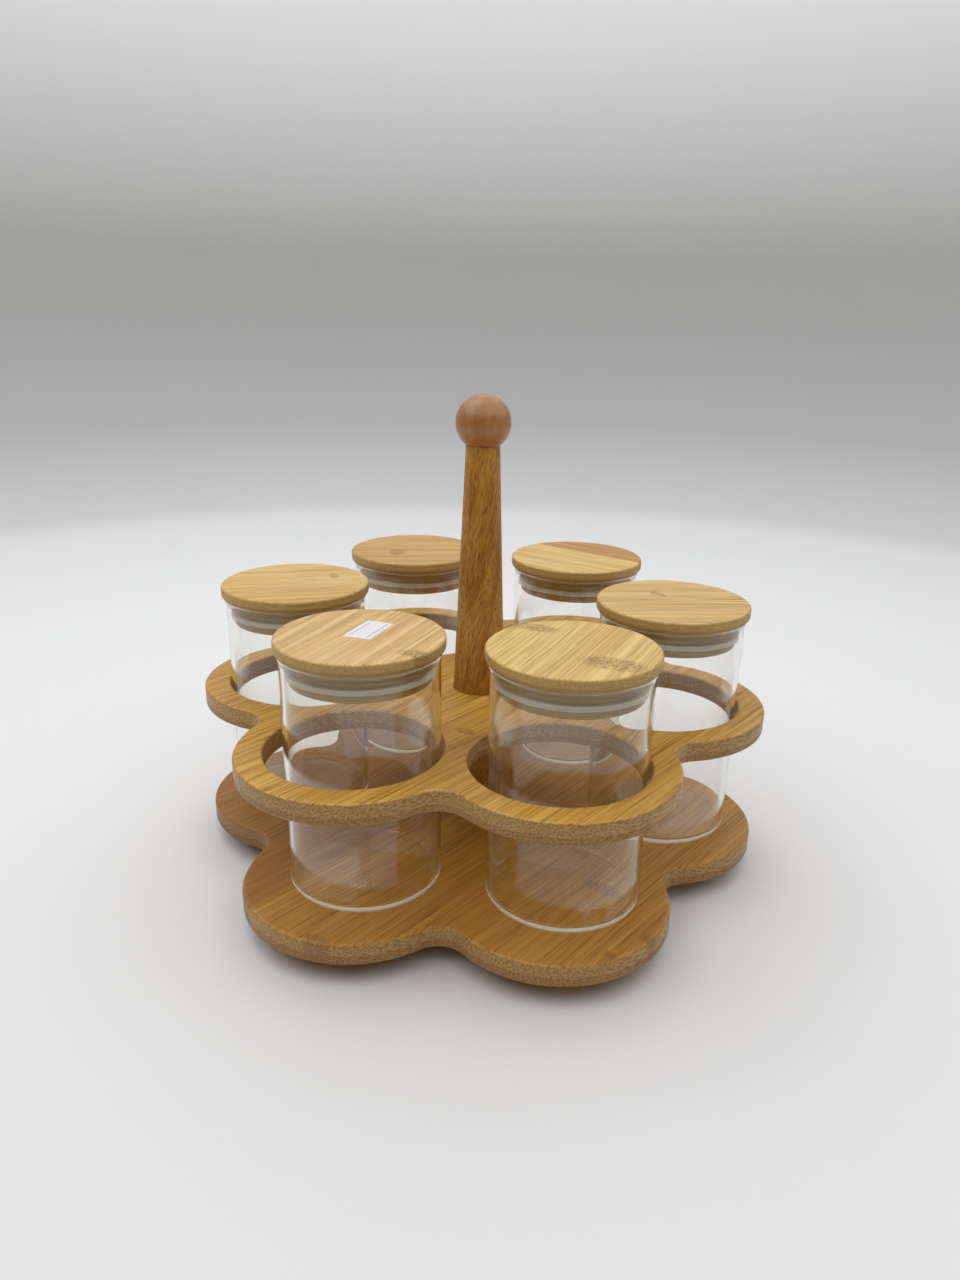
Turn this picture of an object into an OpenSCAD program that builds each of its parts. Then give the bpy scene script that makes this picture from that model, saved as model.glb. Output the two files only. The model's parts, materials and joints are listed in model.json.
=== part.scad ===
// Rotating spice rack: a lobed wooden base on a low turntable, a tapered centre post with a ball
// on top, a lobed ring plate that holds six loose glass jars, and six sealed wooden lids.
// Millimetres, Z up. The origin is on the table, on the turntable's axis.

/* [Plates] */
// Radius of the circle on which the jars and the lobes stand
jar_circle_r = 84.4; // [80:0.2:90]
// Outer radius of each lobe of the base and of the ring plate
lobe_r = 49; // [44:0.5:52]
// Radius of the hollow curve between two neighbouring lobes
valley_r = 12; // [8:0.5:16]
// Thickness of the base plate
base_t = 9.5; // [8:0.5:14]
// Thickness of the ring plate
ring_t = 9.5; // [8:0.5:14]
// Clear height between the base plate and the ring plate
plate_gap = 51.5; // [40:0.5:60]
// Radius of each jar hole in the ring plate
hole_r = 37; // [36.8:0.1:38]
// Height of the base plate's underside above the table
foot_h = 9.5; // [9.5:0.5:14]

/* [Post and ball] */
// Radius of the centre post where it stands on the base plate
post_foot_r = 14.6; // [13:0.1:16]
// Radius of the centre post under the ball
post_top_r = 7.6; // [6:0.1:9]
// Length of the centre post
post_len = 175.3; // [150:0.1:200]
// Radius of the ball on the post
ball_r = 12.3; // [11:0.1:15]

/* [Jars] */
// Outer radius of a jar
jar_r = 32.5; // [31:0.1:32.6]
// Height of a jar without its lid
jar_h = 103; // [90:1:120]
// Wall thickness of a jar
glass_t = 1.8; // [1.4:0.1:2.4]
// Thickness of a jar's floor
floor_t = 2; // [1.6:0.2:4]

/* [Lids] */
// Radius of a lid's disc
lid_r = 34.5; // [33.5:0.1:36]
// Thickness of a lid's disc
lid_t = 5.5; // [4:0.5:8]
// Depth of the plug below the disc
plug_depth = 12; // [11:0.1:14]
// Gap between the plug's wood and the glass
plug_gap = 1.7; // [1.2:0.1:2]
// Depth of the seal's groove below the disc
groove_depth = 6; // [4:0.1:7]
// Height of the groove that holds the seal
groove_h = 2.2; // [2:0.1:3]
// Width of the blank price label
label_w = 21.5; // [18:0.5:26]
// Height of the blank price label
label_h = 12; // [10:0.5:16]

/* [Turntable] */
// Outer radius of the turntable
table_r = 60; // [58:0.5:62]
// Inner radius of the turntable
table_bore_r = 33; // [28:0.5:34]
// Radius of a bearing ball
bead_r = 2; // [1.6:0.1:2]
// Number of bearing balls
bead_count = 24; // [12:1:30]
// Number of rubber feet
foot_count = 6; // [3:1:8]

/* [Hidden] */
$fn = 96;
LOBES = 6;
lobe_step = 360 / LOBES;
jar_names = [for (n = [1 : LOBES]) str("glass_jar_", n)];
lid_names = [for (n = [1 : LOBES]) str("lid_", n)];
seal_names = [for (n = [1 : LOBES]) str("seal_", n)];

// How far each loose jar stands from the middle of its hole, jar 1 first
jar_shift = [[3.8, 1.5], [0, 2.7], [-3.4, 2.3], [-4.1, -0.3], [2.8, 3.0], [3.3, 2.4]];
// The lid that carries the label, the label's place from that lid's middle, and its turn
label_lid = 4;
label_at = [2.1, 6.1];
label_turn = 76;
label_t = 0.12;
label_corner_r = 0.8;

// Heights
base_top = foot_h + base_t;
ring_bottom = base_top + plate_gap;
ring_top = ring_bottom + ring_t;
jar_top = base_top + jar_h;
post_top = base_top + post_len;
ball_z = post_top + sqrt(pow(ball_r, 2) - pow(post_top_r, 2));

// Rounding of the wooden and glass edges
base_edge_top = 2;
base_edge_low = 1;
ring_edge = 1.3;
lid_edge_top = 1.1;
lid_edge_low = 1.8;
plug_edge = 0.8;
jar_heel_r = 2.5;
jar_inner_heel_r = 2;
jar_lip_r = glass_t / 2 - 0.05;

// Post and its fastening to the base plate
dowel_r = 4;
dowel_len = 24;
dowel_chamfer = 0.8;
post_chamfer = 0.6;
screw_r = 2.5;
screw_len = 50;
screw_tip = 6;
screw_head_r = 4.8;
screw_head_h = 3;
washer_r = 8;
washer_t = 1.2;
screw_clearance = 0.1;
screw_low = foot_h - washer_t - screw_head_h;

// A screw's point ends in a small flat, as a share of its radius
tip_flat = 0.1;

// Turntable: two flat rings with a ball race between them
ring_low = 2;
inner_ring_low = 1.5;
inner_ring_drop = 0.5;
race_r = 46.5;
race_z = 5.5;
race_gap = 0.9;
race_clearance = 0.15;
cage_t = 1;
cage_h = 5.2;
pocket_clearance = 0.1;
ring_chamfer = 0.5;
pad_r = 5;
pad_circle_r = 39.3;
pad_recess = 0.5;
pad_edge = 0.4;
small_screw_count = 6;
small_screw_circle_r = 54.5;
small_screw_r = 1.75;
small_screw_head_r = 3.4;
small_screw_head_h = 1.8;
small_screw_len = 12;
small_screw_tip = 2.5;

// Driver slots: their width, and their reach and depth as shares of the head
slot_w = 0.7;
slot_reach = 0.6;
slot_depth = 0.6;

// Plug, groove and seal, as radii, and as heights from the jar's lip
inner_r = jar_r - glass_t;
plug_r = inner_r - plug_gap;
groove_r = plug_r - plug_gap;
groove_top = -groove_depth;
groove_low = groove_top - groove_h;
seal_lip_r = inner_r - 0.1;
seal_core_r = seal_lip_r - 0.3;
seal_lip_t = 0.6;

// How far a cutting shape runs past the face that it cuts
bite = 1;

// Colours
wood_light = "#d9b778";
wood_plate = "#c4934f";
wood_post = "#b9803f";
wood_ball = "#c08a55";

// Points along an arc round [x, y], from angle a to angle b
function arc(x, y, r, a, b, n = 6) =
    [for (i = [0 : n]) [x + r * cos(a + (b - a) * i / n), y + r * sin(a + (b - a) * i / n)]];

function lobe_angle(i) = i * lobe_step;
function lobe_at(i) = jar_circle_r * [cos(lobe_angle(i)), sin(lobe_angle(i))];
function jar_at(i) = lobe_at(i) + jar_shift[i];
function post_r(z) = post_foot_r + (post_top_r - post_foot_r) * (z - base_top) / post_len;

// The lobes touch the valley curves at one angle: half the distance between two lobes over the
// sum of the two radii gives it
lobe_half = jar_circle_r * sin(lobe_step / 2);
valley_half_angle = asin(lobe_half / (lobe_r + valley_r));
// Each hollow curve's slice reaches in as far as the line between two lobes
hollow_reach = (lobe_r + valley_r) * cos(valley_half_angle);
valley_at_r = jar_circle_r * cos(lobe_step / 2) + hollow_reach;
// Each lobe's slice runs on under the hollow curve by this angle
lobe_overrun = 10;
lobe_half_angle = lobe_step / 2 + valley_half_angle + lobe_overrun;
// A hollow curve stands this far proud of the lobes where it meets them
seam_lap = 0.02;
// The disc in the middle ends half way between the jar circle and the hollow curves
core_r = (jar_circle_r + valley_at_r - valley_r) / 2;

// Edge of a plate at radius r, with rounded corners below and above
function rim(r, t, low, top) = concat(
    [[0, 0]], arc(r - low, low, low, -90, 0), arc(r - top, t - top, top, 0, 90), [[0, t]]);
// The same edge seen from the hollow side, at radius r round the valley's centre
function hollow_rim(r, t, low, top) = concat(
    [[hollow_reach, 0]], arc(r + low, low, low, 270, 180), arc(r + top, t - top, top, 180, 90),
    [[hollow_reach, t]]);

// A slice of a turned shape round a point, as wide to one side of the direction a as to the other
module slice(at, a, half_angle) {
    translate([at[0], at[1], 0])
        rotate_extrude(angle = 2 * half_angle, start = a - half_angle) children();
}

// A plate with six round lobes joined by hollow curves: a slice of disc for each lobe, a slice of
// ring for each hollow curve, and a disc that fills the middle
module lobed_plate(t, low, top) {
    cylinder(r = core_r, h = t);
    for (i = [0 : LOBES - 1]) {
        a = lobe_angle(i);
        b = a + lobe_step / 2;
        slice(lobe_at(i), a, lobe_half_angle) polygon(rim(lobe_r, t, low, top));
        slice(valley_at_r * [cos(b), sin(b)], b + 180, valley_half_angle)
            polygon(hollow_rim(valley_r - seam_lap, t, low, top));
    }
}

// A pointed wood screw that stands on z = 0 with its head downwards, the point up
module screw_shank(r, length, tip) {
    cylinder(r = r, h = length - tip);
    translate([0, 0, length - tip]) cylinder(r1 = r, r2 = r * tip_flat, h = tip);
}

// The cross-shaped driver slot, cut upwards into a head from z = 0
module driver_slot(reach, depth) {
    for (turn = [0, 90])
        rotate([0, 0, turn]) translate([-reach, -slot_w / 2, -bite])
            cube([2 * reach, slot_w, depth + bite]);
}

module at_small_screws() {
    for (i = [0 : small_screw_count - 1])
        rotate([0, 0, (i + 0.5) * 360 / small_screw_count])
            translate([small_screw_circle_r, 0, 0]) children();
}

// A flat ring with its four edges chamfered
module flat_ring(inner, outer, low, high) {
    rotate_extrude() polygon([
        [inner + ring_chamfer, low], [outer - ring_chamfer, low], [outer, low + ring_chamfer],
        [outer, high - ring_chamfer], [outer - ring_chamfer, high],
        [inner + ring_chamfer, high], [inner, high - ring_chamfer], [inner, low + ring_chamfer]]);
}

// The round groove in which the balls run
module ball_race() {
    rotate_extrude() translate([race_r, race_z]) circle(r = bead_r + race_clearance);
}

module at_feet() {
    for (i = [0 : foot_count - 1])
        rotate([0, 0, i * 360 / foot_count]) translate([pad_circle_r, 0, 0]) children();
}

// Soft pads under the inner ring, each with a rounded lower edge
module rubber_feet() {
    color("#2b2b2b") at_feet()
        rotate_extrude() polygon(concat(
            [[0, 0]], arc(pad_r - pad_edge, pad_edge, pad_edge, -90, 0),
            [[pad_r, inner_ring_low + pad_recess], [0, inner_ring_low + pad_recess]]));
}

// The ring that stays still on the table
module turntable_inner_ring() {
    color("#b9bcc0") difference() {
        flat_ring(table_bore_r, race_r - race_gap, inner_ring_low, foot_h - inner_ring_drop);
        ball_race();
        at_feet() translate([0, 0, inner_ring_low - bite]) cylinder(r = pad_r, h = pad_recess + bite);
    }
}

// The ring that is screwed under the base plate and turns with it
module turntable_outer_ring() {
    color("#c3c6ca") difference() {
        flat_ring(race_r + race_gap, table_r, ring_low, foot_h);
        ball_race();
        at_small_screws() {
            translate([0, 0, ring_low - bite])
                cylinder(r = small_screw_r + screw_clearance, h = foot_h);
            translate([0, 0, ring_low])
                cylinder(r1 = small_screw_head_r, r2 = small_screw_r, h = small_screw_head_h);
        }
    }
}

module turntable_balls() {
    color("#d5d8dc")
        for (i = [0 : bead_count - 1])
            rotate([0, 0, i * 360 / bead_count]) translate([race_r, 0, race_z])
                sphere(r = bead_r, $fn = 32);
}

// A thin strip with a pocket for each ball
module turntable_ball_cage() {
    color("#e8e4da") difference() {
        translate([0, 0, race_z - cage_h / 2]) difference() {
            cylinder(r = race_r + cage_t / 2, h = cage_h);
            translate([0, 0, -bite]) cylinder(r = race_r - cage_t / 2, h = cage_h + 2 * bite);
        }
        for (i = [0 : bead_count - 1])
            rotate([0, 0, i * 360 / bead_count]) translate([race_r, 0, race_z])
                rotate([0, 90, 0]) cylinder(r = bead_r + pocket_clearance, h = 4 * cage_t, center = true);
    }
}

// Countersunk wood screws that hold the outer ring under the base plate
module turntable_screws() {
    color("#a9adb2") at_small_screws() translate([0, 0, ring_low]) difference() {
        union() {
            cylinder(r1 = small_screw_head_r, r2 = small_screw_r, h = small_screw_head_h);
            screw_shank(small_screw_r, small_screw_len, small_screw_tip);
        }
        driver_slot(slot_reach * small_screw_head_r, slot_depth * small_screw_head_h);
    }
}

// The lobed board on which the jars stand
module base_plate() {
    color(wood_plate) difference() {
        translate([0, 0, foot_h]) lobed_plate(base_t, base_edge_low, base_edge_top);
        translate([0, 0, foot_h - bite]) cylinder(r = screw_r + screw_clearance, h = base_t + 2 * bite);
        at_small_screws() translate([0, 0, ring_low])
            screw_shank(small_screw_r, small_screw_len, small_screw_tip);
    }
}

module post_washer() {
    color("#b4b8bd") translate([0, 0, foot_h - washer_t]) difference() {
        cylinder(r = washer_r, h = washer_t);
        translate([0, 0, -bite]) cylinder(r = screw_r + screw_clearance, h = washer_t + 2 * bite);
    }
}

// The long wood screw that pulls the post down onto the base plate
module post_screw() {
    color("#a9adb2") translate([0, 0, screw_low]) difference() {
        union() {
            rotate_extrude() polygon(concat(
                [[0, 0]],
                arc(screw_head_r - screw_head_h / 2, screw_head_h / 2, screw_head_h / 2, -90, 0),
                [[screw_head_r, screw_head_h], [0, screw_head_h]]));
            screw_shank(screw_r, screw_len, screw_tip);
        }
        driver_slot(slot_reach * screw_head_r, slot_depth * screw_head_h);
    }
}

// The turned handle: one long cone that runs from the base plate through the ring plate
module centre_post() {
    color(wood_post) difference() {
        translate([0, 0, base_top]) rotate_extrude() polygon([
            [0, 0], [post_foot_r - post_chamfer, 0], [post_r(base_top + post_chamfer), post_chamfer],
            [post_top_r, post_len], [0, post_len]]);
        translate([0, 0, screw_low]) screw_shank(screw_r, screw_len, screw_tip);
        translate([0, 0, post_top - dowel_len / 2]) cylinder(r = dowel_r, h = dowel_len);
    }
}

// The upper board: it sits on the post's taper and keeps each jar in its place
module ring_plate() {
    color(wood_plate) difference() {
        translate([0, 0, ring_bottom]) lobed_plate(ring_t, ring_edge, ring_edge);
        for (i = [0 : LOBES - 1])
            translate([lobe_at(i)[0], lobe_at(i)[1], ring_bottom])
                rotate_extrude() polygon(concat(
                    [[0, -bite], [hole_r + ring_edge, -bite]],
                    arc(hole_r + ring_edge, ring_edge, ring_edge, 270, 180),
                    arc(hole_r + ring_edge, ring_t - ring_edge, ring_edge, 180, 90),
                    [[hole_r + ring_edge, ring_t + bite], [0, ring_t + bite]]));
        translate([0, 0, ring_bottom - bite])
            cylinder(r1 = post_r(ring_bottom - bite), r2 = post_r(ring_top + bite), h = ring_t + 2 * bite);
    }
}

// The wooden pin that joins the ball to the post
module ball_dowel() {
    color(wood_light) translate([0, 0, post_top - dowel_len / 2]) rotate_extrude() polygon([
        [0, 0], [dowel_r - dowel_chamfer, 0], [dowel_r, dowel_chamfer],
        [dowel_r, dowel_len - dowel_chamfer], [dowel_r - dowel_chamfer, dowel_len], [0, dowel_len]]);
}

// The ball, cut flat where it sits on the post and drilled for the pin
module handle_ball() {
    color(wood_ball) difference() {
        translate([0, 0, ball_z]) sphere(r = ball_r);
        translate([0, 0, ball_z - 2 * ball_r])
            cylinder(r = ball_r, h = 2 * ball_r - (ball_z - post_top));
        translate([0, 0, post_top - bite]) cylinder(r = dowel_r, h = dowel_len / 2 + bite);
    }
}

// A straight jar of blown glass with a thick rounded heel and a melted lip
module glass_jar(i) {
    color("#e6eef0", 0.35) translate([jar_at(i)[0], jar_at(i)[1], base_top])
        rotate_extrude() polygon(concat(
            [[0, 0]], arc(jar_r - jar_heel_r, jar_heel_r, jar_heel_r, -90, 0),
            arc(jar_r - jar_lip_r, jar_h - jar_lip_r, jar_lip_r, 0, 90, 4),
            arc(inner_r + jar_lip_r, jar_h - jar_lip_r, jar_lip_r, 90, 180, 4),
            arc(inner_r - jar_inner_heel_r, floor_t + jar_inner_heel_r, jar_inner_heel_r, 0, -90),
            [[0, floor_t]]));
}

// A turned lid in one piece: the disc, the plug below it and the groove for the seal
module lid(i) {
    color(wood_light) translate([jar_at(i)[0], jar_at(i)[1], jar_top])
        rotate_extrude() polygon(concat(
            [[0, -plug_depth]], arc(plug_r - plug_edge, -plug_depth + plug_edge, plug_edge, -90, 0),
            [[plug_r, groove_low], [groove_r, groove_low], [groove_r, groove_top],
             [plug_r, groove_top], [plug_r, 0]],
            arc(lid_r - lid_edge_low, lid_edge_low, lid_edge_low, -90, 0),
            arc(lid_r - lid_edge_top, lid_t - lid_edge_top, lid_edge_top, 0, 90),
            [[0, lid_t]]));
}

// The clear rubber seal in the lid's groove, with two lips that touch the glass
module seal(i) {
    color("#e9e7e2", 0.8) translate([jar_at(i)[0], jar_at(i)[1], jar_top])
        rotate_extrude() polygon([
            [groove_r, groove_low], [seal_lip_r, groove_low], [seal_lip_r, groove_low + seal_lip_t],
            [seal_core_r, groove_low + seal_lip_t], [seal_core_r, groove_top - seal_lip_t],
            [seal_lip_r, groove_top - seal_lip_t], [seal_lip_r, groove_top], [groove_r, groove_top]]);
}

// The blank price label on one lid
module price_label() {
    color("white")
        translate([jar_at(label_lid)[0] + label_at[0], jar_at(label_lid)[1] + label_at[1], jar_top + lid_t])
            rotate([0, 0, label_turn]) linear_extrude(label_t) polygon([
                for (c = [[1, 1, 0], [-1, 1, 90], [-1, -1, 180], [1, -1, 270]])
                    each arc(c[0] * (label_w / 2 - label_corner_r), c[1] * (label_h / 2 - label_corner_r),
                             label_corner_r, c[2], c[2] + 90)]);
}

rubber_feet();
turntable_inner_ring();
turntable_balls();
turntable_ball_cage();
turntable_outer_ring();
turntable_screws();
base_plate();
post_washer();
post_screw();
centre_post();
ring_plate();
ball_dowel();
handle_ball();
price_label();
for (i = [0 : LOBES - 1]) {
    glass_jar(i);
    lid(i);
    seal(i);
}
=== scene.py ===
import json
import math
import bmesh
import bpy
from bpy.props import FloatProperty, FloatVectorProperty, PointerProperty
from mathutils import Matrix, Vector


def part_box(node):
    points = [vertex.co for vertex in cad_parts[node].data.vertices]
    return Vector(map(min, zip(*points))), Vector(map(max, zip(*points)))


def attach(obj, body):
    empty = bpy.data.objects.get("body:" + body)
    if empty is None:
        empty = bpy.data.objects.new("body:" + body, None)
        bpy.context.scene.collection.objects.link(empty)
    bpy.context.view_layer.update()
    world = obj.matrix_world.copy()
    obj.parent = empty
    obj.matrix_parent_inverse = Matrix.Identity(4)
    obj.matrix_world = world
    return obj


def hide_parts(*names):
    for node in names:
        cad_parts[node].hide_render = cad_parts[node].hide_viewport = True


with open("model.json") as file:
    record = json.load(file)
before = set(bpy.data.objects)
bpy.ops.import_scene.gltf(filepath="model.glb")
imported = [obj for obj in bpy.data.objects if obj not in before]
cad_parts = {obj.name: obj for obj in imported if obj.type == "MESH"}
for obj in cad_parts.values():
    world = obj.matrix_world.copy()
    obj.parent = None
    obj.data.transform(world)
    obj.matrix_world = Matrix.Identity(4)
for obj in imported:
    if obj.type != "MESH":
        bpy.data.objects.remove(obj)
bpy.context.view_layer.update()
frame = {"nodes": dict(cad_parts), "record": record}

bl_info = {
    "name": "Rotating spice rack",
    "version": (1, 0, 0),
    "blender": (4, 5, 0),
    "location": "3D Viewport > Sidebar > Spice rack",
    "description": "Gives a lobed bamboo spice rack, its six glass jars and their lids a finished look",
    "category": "Add Mesh",
}

MM = 0.001
JARS = 6

# Where each piece is, from the frame
BASE_LOW, BASE_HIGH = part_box("base_plate")
RING_LOW, RING_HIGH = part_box("ring_plate")
POST_LOW, POST_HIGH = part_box("centre_post")
BALL_LOW, BALL_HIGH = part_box("handle_ball")
PIN_LOW, PIN_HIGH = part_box("ball_dowel")
SCREW_LOW, SCREW_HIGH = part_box("post_screw")
SMALL_SCREWS_LOW, SMALL_SCREWS_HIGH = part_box("turntable_screws")
JAR_LOW, JAR_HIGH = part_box("glass_jar_1")
LID_LOW, LID_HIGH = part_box("lid_1")
SEAL_LOW, SEAL_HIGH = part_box("seal_1")
LABEL_LOW, LABEL_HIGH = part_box("price_label")
AXIS = Vector((0, 0, 0))

BODY_OF = {n: body for body, nodes in frame["record"]["behaviour"]["bodies"].items() for n in nodes}
SLOT_OF = {s["node"]: s["material_slot"] for s in frame["record"]["subparts"]}

# Inputs and output of Blender's colour mix node, which go by number
MIX_A, MIX_B, MIX_RESULT = 6, 7, 2


def linear(code):
    """An sRGB hex colour as linear red, green, blue and alpha."""
    parts = [int(code[i:i + 2], 16) / 255 for i in (1, 3, 5)]
    return tuple(p / 12.92 if p <= 0.04045 else ((p + 0.055) / 1.055) ** 2.4 for p in parts) + (1.0,)


def length(name, description, mm):
    """A length that a user can change, kept in metres."""
    return FloatProperty(name=name, description=description, default=mm * MM, min=0.0, precision=5,
                         unit="LENGTH")


def colour(name, description, code):
    """A colour that a user can change."""
    return FloatVectorProperty(name=name, description=description, default=linear(code), min=0.0, max=1.0,
                               size=4, subtype="COLOR")


def half_width(low, high):
    """Half the width in millimetres of a piece that is round from above."""
    return (high.x - low.x) / 2 / MM


class RackBoardSizes(bpy.types.PropertyGroup):
    """Sizes of the two lobed boards."""

    lobe_circle: length("Lobe circle", "Radius of the circle on which the lobes' middles stand", 84.4)
    lobe_radius: length("Lobe radius", "Outer radius of each lobe", 49.0)
    hollow_radius: length("Hollow radius", "Radius of the hollow curve between two lobes", 12.0)
    hole_radius: length("Hole radius", "Radius of each jar hole in the ring board", 37.0)
    base_edge_top: length("Base upper edge", "Rounding of the base board's upper edge", 2.0)
    base_edge_low: length("Base lower edge", "Rounding of the base board's lower edge", 1.0)
    ring_edge: length("Ring edge", "Rounding of all the ring board's edges", 1.3)
    shoulder: length("Shoulder", "Width of the flat strip beside each rounded edge", 3.0)
    joint_gap: length("Joint gap", "Open line between the ring board and the post", 0.15)
    screw_circle: length("Screw circle", "Radius of the circle of small screws under the base board", 54.5)
    pilot_radius: length("Pilot radius", "Radius of the holes for the small screws", 1.75)


class RackPostSizes(bpy.types.PropertyGroup):
    """Sizes of the turned post and its ball."""

    foot_radius: length("Foot radius", "Radius of the post where it stands on the base board",
                        half_width(POST_LOW, POST_HIGH))
    top_radius: length("Top radius", "Radius of the post under the ball", 7.6)
    foot_edge: length("Foot edge", "Rounding of the post's lower edge", 0.5)
    top_edge: length("Top edge", "Rounding of the post's upper edge", 0.3)
    screw_radius: length("Screw radius", "Radius of the screw in the post's foot", 2.5)
    screw_point: length("Screw point", "Length of that screw's point", 6.0)
    pin_radius: length("Pin radius", "Radius of the pin between the post and the ball",
                       half_width(PIN_LOW, PIN_HIGH))
    ball_radius: length("Ball radius", "Radius of the ball", half_width(BALL_LOW, BALL_HIGH))


class RackJarSizes(bpy.types.PropertyGroup):
    """Sizes of a jar, its lid, the seal and the label."""

    radius: length("Jar radius", "Outer radius of a jar", half_width(JAR_LOW, JAR_HIGH))
    wall: length("Wall", "Thickness of a jar's wall", 1.8)
    floor: length("Floor", "Thickness of a jar's floor", 2.0)
    heel: length("Heel", "Outer rounding at a jar's foot", 2.5)
    inner_heel: length("Inner heel", "Inner rounding at a jar's foot", 2.0)
    lip: length("Lip", "Rounding of a jar's melted lip", 0.85)
    # The lip's pale band is a painted highlight
    lip_glint_height: length("Lip glint height", "Height of the painted highlight line at a jar's lip", 1.3)
    lip_swell: length("Lip swell", "How far the melted lip stands out from the wall", 0.45)
    air: length("Air", "Gap between the glass and the wood that it touches", 0.05)
    punt: length("Punt", "How far the middle of a jar's underside stands clear of the board", 0.9)
    punt_radius: length("Punt radius", "Radius inside which a jar's underside is hollow", 28.0)
    disc_radius: length("Disc radius", "Radius of a lid's disc", half_width(LID_LOW, LID_HIGH))
    disc_edge_top: length("Disc upper edge", "Rounding of a lid's upper edge", 1.1)
    disc_edge_low: length("Disc lower edge", "Rounding of a lid's lower edge", 1.8)
    plug_radius: length("Plug radius", "Radius of the plug under a lid's disc", 29.0)
    plug_edge: length("Plug edge", "Rounding of the plug's lower edge", 0.8)
    groove_radius: length("Groove radius", "Radius at the bottom of the seal's groove", 27.3)
    seal_core: length("Seal core", "Radius of the seal between its two lips", 30.3)
    seal_lip: length("Seal lip", "Thickness of each of the seal's lips", 0.6)
    label_length: length("Label length", "Long side of the price label", 21.5)
    label_width: length("Label width", "Short side of the price label", 12.0)
    label_corner: length("Label corner", "Rounding of the label's corners", 0.8)
    label_notch: length("Label notch", "Depth of the small tear in one long side of the label", 0.9)


class RackColours(bpy.types.PropertyGroup):
    """Colours of the rack's materials."""

    board_pale: colour("Board, pale", "Pale tone of the boards' bamboo", "#e3b254")
    board_warm: colour("Board, warm", "Warm tone of the boards' bamboo", "#d29e40")
    board_fibre: colour("Board, fibre", "Dark fibres in the boards' bamboo", "#8c5b1b")
    board_rim_with_shade: colour("Board, rim and shade", "Rims of the boards: the cut wood's colour with painted shade", "#bc9454")
    lid_pale: colour("Lid, pale", "Pale tone of the lids' bamboo", "#e8c787")
    lid_warm: colour("Lid, warm", "Warm tone of the lids' bamboo", "#d9b06a")
    lid_fibre: colour("Lid, fibre", "Dark fibres in the lids' bamboo", "#9a7038")
    lid_rim_with_shade: colour("Lid, rim and shade", "Rims of the lids: the cut wood's colour with painted shade", "#c4a15c")
    node_mark: colour("Node mark", "Brown speckles where the bamboo had a node", "#8a5e30")
    post_light: colour("Post, light", "Light wood of the post", "#cb963f")
    post_dark: colour("Post, dark", "Dark wood of the post's growth rings", "#aa7120")
    ball_light: colour("Ball, light", "Light wood of the ball", "#b77f4a")
    ball_dark: colour("Ball, dark", "Dark wood of the ball's growth rings", "#a06a38")
    pore: colour("Pore", "Open pores in the turned wood", "#744612")
    glass: colour("Glass", "Tint of the jars' glass", "#fdfdfa")
    silicone: colour("Silicone", "Whitish clear rubber of the seals", "#eee3cc")
    paper: colour("Paper", "White paper of the label", "#e9e4e6")
    ruling: colour("Ruling", "Thin printed lines of the label", "#7d6fae")
    rubber: colour("Rubber", "Pads under the turntable", "#2a2a2b")
    nylon: colour("Nylon", "Cage that spaces the turntable's balls", "#e4dfd0")
    aluminium: colour("Aluminium", "Rings of the turntable", "#c9cbce")
    steel: colour("Steel", "Balls of the turntable", "#d8d9db")
    zinc: colour("Zinc", "Plating of the screws and the washer", "#b9bcc0")
    floor: colour("Floor", "Pale floor of the stage", "#f0f0f0")
    front_wall: colour("Front wall", "Painted shade of the stage behind the camera", "#625e58")


# Each lid's grain as degrees from the rack's X axis, its tint, the places of its node marks from the
# lid's middle (x, y, half length along the grain, half width across it), in millimetres, and where a
# second, browner strip is glued on, as its distance across the grain
LIDS = [
    {"grain": 10.5, "tint": "#fbf6ee", "marks": [(-7.6, 10.2, 2.6, 3.6), (-4.0, 7.0, 1.6, 2.4)]},
    {"grain": -31.0, "tint": "#fffcef", "marks": [], "second": (9.6, "#e2cebe")},
    {"grain": 11.0, "tint": "#eadfd0", "marks": [(-8.1, -9.5, 4.5, 7.0)]},
    {"grain": 21.0, "tint": "#fbf6e8", "marks": [(15.0, 13.5, 2.6, 5.0)]},
    {"grain": 74.0, "tint": "#fffbff", "marks": [(26.0, -18.0, 4.0, 7.5)]},
    {"grain": 71.0, "tint": "#ffffef", "marks": [(15.0, -15.5, 7.0, 13.0), (-16.5, 21.8, 4.5, 10.5)]},
]


def section(bm, points, middle, direction, closed=False):
    """Edges through points (radius, height, rounding) on an upright half plane, its corners rounded."""
    out = Vector((math.cos(direction), math.sin(direction), 0))
    row = [bm.verts.new(Vector((middle.x, middle.y, z)) + r * out) for r, z, _ in points]
    for a, b in zip(row, row[1:] + row[:1] if closed else row[1:]):
        bm.edges.new((a, b))
    for corner, (_, _, rounding) in zip(row, points):
        if rounding:
            bmesh.ops.bevel(bm, geom=[corner], offset=rounding, offset_type="OFFSET", segments=6,
                            profile=0.5, affect="VERTICES", material=-1, clamp_overlap=False)
    edges = [e for e in bm.edges if e.is_wire]
    return list({v for e in edges for v in e.verts}) + edges


def sweep(bm, geom, middle, angle, steps):
    """Turn a section round the upright line through middle. Returns where it ends."""
    whole = abs(abs(angle) - math.tau) < 1e-6
    turned = bmesh.ops.spin(bm, geom=geom, cent=middle, axis=(0, 0, 1), angle=angle, steps=steps,
                            use_merge=whole, use_duplicate=False)
    return turned["geom_last"]


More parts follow.
